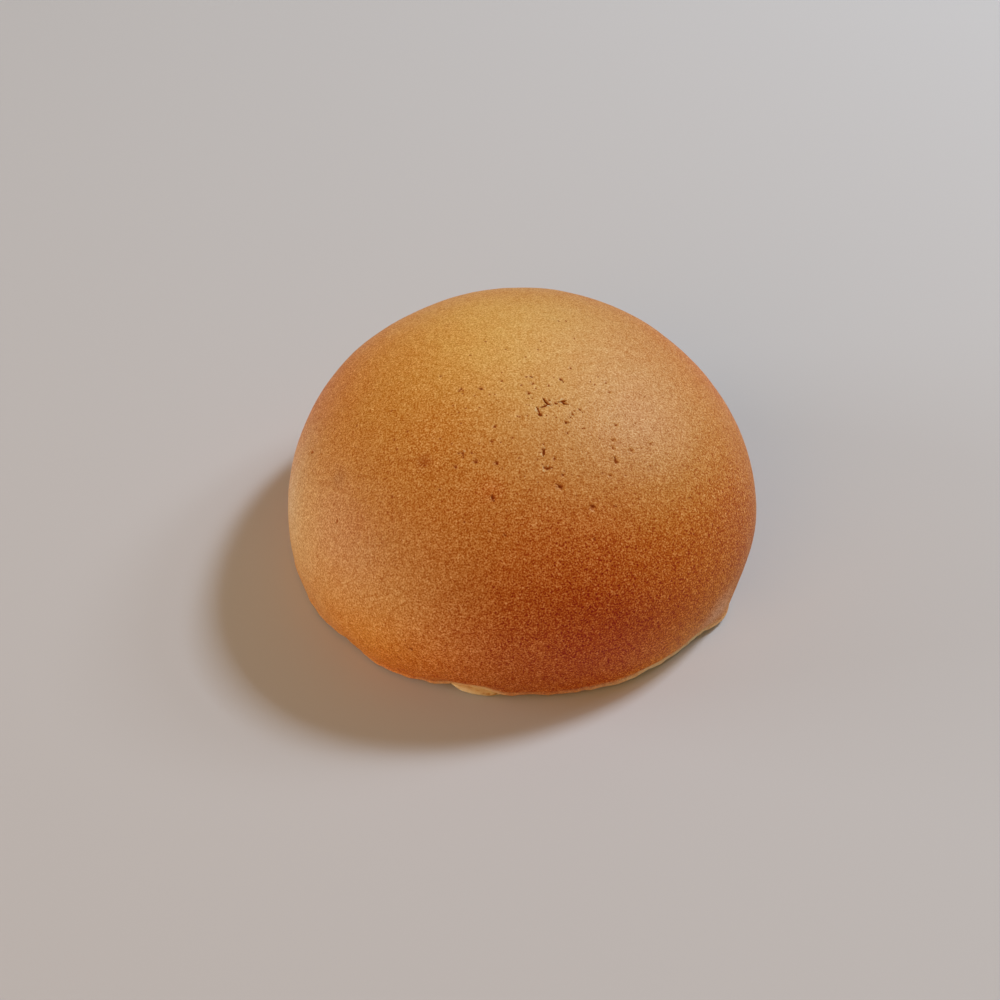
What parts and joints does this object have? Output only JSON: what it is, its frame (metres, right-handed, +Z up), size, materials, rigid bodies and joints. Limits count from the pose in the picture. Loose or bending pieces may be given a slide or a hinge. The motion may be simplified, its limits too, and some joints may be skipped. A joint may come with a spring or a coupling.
{
  "type": "coffee bun",
  "caption": "Round, domed bread bun under a thin baked crust, with fine cracks at the crown and a flat sole to stand on.",
  "frame": {"origin": "middle of the outline, on the plane of the flat sole", "axes": "+Z up through the crown; the side that the picture shows faces -Y, and +X is to its right"},
  "size_m": [0.1108, 0.1146, 0.0549],
  "materials": {
    "crust": "thin baked bread crust, golden ochre at the crown and reddish brown low at the front, satin, with a fine speckle"
  },
  "bodies": {
    "root": {"bun": "crust"}
  },
  "joints": []
}
